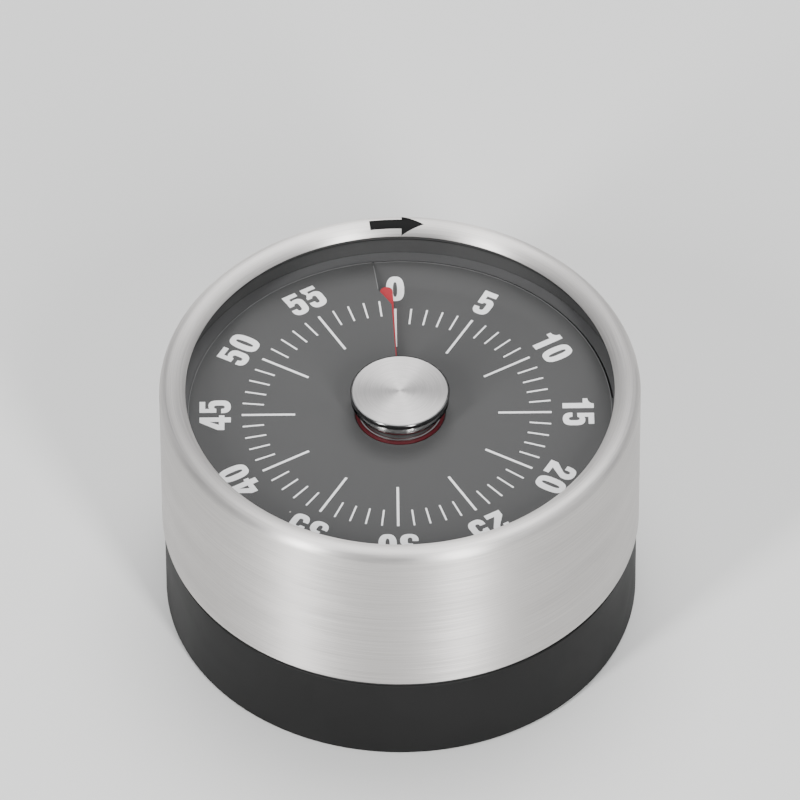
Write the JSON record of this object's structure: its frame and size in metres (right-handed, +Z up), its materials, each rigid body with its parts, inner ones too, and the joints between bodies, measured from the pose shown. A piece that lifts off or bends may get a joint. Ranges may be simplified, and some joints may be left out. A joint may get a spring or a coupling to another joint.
{
  "type": "kitchen timer",
  "caption": "Round twist-to-set mechanical kitchen timer with a brushed steel shell over a dark base, a clear lens, a marked dial and a red disc that shows the time left.",
  "frame": {"origin": "under the middle of the foot ring, on the surface the timer stands on", "axes": "+Z up through the dial and the winding axis, +Y towards the 0 mark, +X towards the 15 mark"},
  "size_m": [0.08, 0.08, 0.0481],
  "materials": {
    "brushed_steel": "circular brushed stainless sheet, satin rim",
    "dark_plastic": "fine textured dark grey moulding",
    "grey_plastic": "mid grey moulding",
    "foot_rubber": "black rubber",
    "black_rubber": "black rubber seal",
    "black_nylon": "black nylon",
    "magnet_ferrite": "dark ferrite",
    "plated_steel": "zinc plated sheet",
    "screw_steel": "plated steel",
    "arbor_steel": "turned steel",
    "spring_steel": "blued spring steel",
    "bell_steel": "nickel plated steel",
    "plate_brass": "stamped brass plate",
    "wheel_brass": "stamped brass wheel",
    "bush_brass": "turned brass",
    "dial_foil": "grey polyester sheet",
    "red_film": "red polyester sheet",
    "clear_lens": "clear acrylic sheet",
    "cap_metal": "circular spun face, cut edge",
    "polished_metal": "polished turned metal"
  },
  "bodies": {
    "root": {"base_case": "dark_plastic", "foot_ring": "foot_rubber", "magnet": "magnet_ferrite", "magnet_cover": "plated_steel", "case_screws": "screw_steel", "slip_washer": "black_nylon", "dial_carrier": "grey_plastic", "dial_plate": "dial_foil", "back_plate": "plate_brass", "front_plate": "plate_brass", "arbor_bushes": "bush_brass", "plate_pillars": "screw_steel", "plate_nuts": "screw_steel", "spacer_posts": "bush_brass", "tray_screws": "screw_steel", "bell": "bell_steel", "bell_post": "screw_steel", "bell_nut": "screw_steel", "mainspring": "spring_steel", "spring_stud": "screw_steel", "detent_stud": "screw_steel"},
    "turning_case": {"steel_shell": "brushed_steel", "inner_sleeve": "dark_plastic", "lens": "clear_lens", "lens_gasket": "black_rubber", "centre_cap": "cap_metal", "centre_neck": "polished_metal", "disc_hub": "red_film", "main_arbor": "arbor_steel", "arbor_clip": "spring_steel", "spring_collar": "bush_brass", "ratchet_wheel": "arbor_steel", "strike_cam": "plate_brass"},
    "time_disc": {"visual_disc": "red_film"},
    "main_gear": {"main_wheel": "wheel_brass", "click_pin": "arbor_steel", "click_spring": "spring_steel"},
    "click": {"click": "arbor_steel"},
    "second_gear": {"second_arbor": "arbor_steel", "second_pinion": "arbor_steel", "second_wheel": "wheel_brass", "strike_wheel": "wheel_brass"},
    "escape_gear": {"escape_arbor": "arbor_steel", "escape_pinion": "arbor_steel", "escape_wheel": "wheel_brass"},
    "balance": {"pallet_arbor": "arbor_steel", "pallet_lever": "arbor_steel", "balance_wheel": "wheel_brass"},
    "hammer": {"hammer_arbor": "arbor_steel", "hammer_arm": "plated_steel", "hammer_head": "bush_brass", "hammer_tail": "plated_steel"},
    "detent": {"detent_lever": "plated_steel"}
  },
  "joints": [
    {"name": "case_turn", "type": "hinge", "parent": "root", "child": "turning_case", "pos_m": [0, 0, 0.03], "axis": [0, 0, -1], "range_deg": [0, 360]},
    {"name": "disc_lift", "type": "slide", "parent": "turning_case", "child": "time_disc", "axis": [0, 0, 1], "range_m": [0, 0.00201]},
    {"name": "main_gear_turn", "type": "hinge", "parent": "root", "child": "main_gear", "pos_m": [0, 0, 0.023], "axis": [0, 0, -1], "range_deg": [0, 361]},
    {"name": "click_swing", "type": "hinge", "parent": "main_gear", "child": "click", "pos_m": [0, 0.0091, 0.025], "axis": [0, 0, -1], "range_deg": [0, 12], "stiffness_Nm_per_rad": 0.0002},
    {"name": "second_gear_turn", "type": "hinge", "parent": "root", "child": "second_gear", "pos_m": [0.0184, 0, 0.023], "axis": [0, 0, -1], "range_deg": [-2401, 1]},
    {"name": "escape_gear_turn", "type": "hinge", "parent": "root", "child": "escape_gear", "pos_m": [0.0184, 0.0144, 0.023], "axis": [0, 0, -1], "range_deg": [-1, 12001]},
    {"name": "balance_swing", "type": "hinge", "parent": "root", "child": "balance", "pos_m": [0.01274, 0.02006, 0.021], "axis": [0, 0, 1], "range_deg": [-5, 5]},
    {"name": "hammer_swing", "type": "hinge", "parent": "root", "child": "hammer", "pos_m": [0.018, -0.0138, 0.02], "axis": [0, 0, -1], "range_deg": [-2, 12], "stiffness_Nm_per_rad": 0.0008},
    {"name": "detent_swing", "type": "hinge", "parent": "root", "child": "detent", "pos_m": [-0.0112, 0.0105, 0.0285], "axis": [0, 0, 1], "range_deg": [0, 6]}
  ],
  "couplings": [
    {"joint": "disc_lift", "follows": "case_turn", "m_per_rad": 0.00031831},
    {"joint": "main_gear_turn", "follows": "case_turn", "ratio": 1},
    {"joint": "second_gear_turn", "follows": "case_turn", "ratio": -6.6667},
    {"joint": "escape_gear_turn", "follows": "case_turn", "ratio": 33.333}
  ]
}
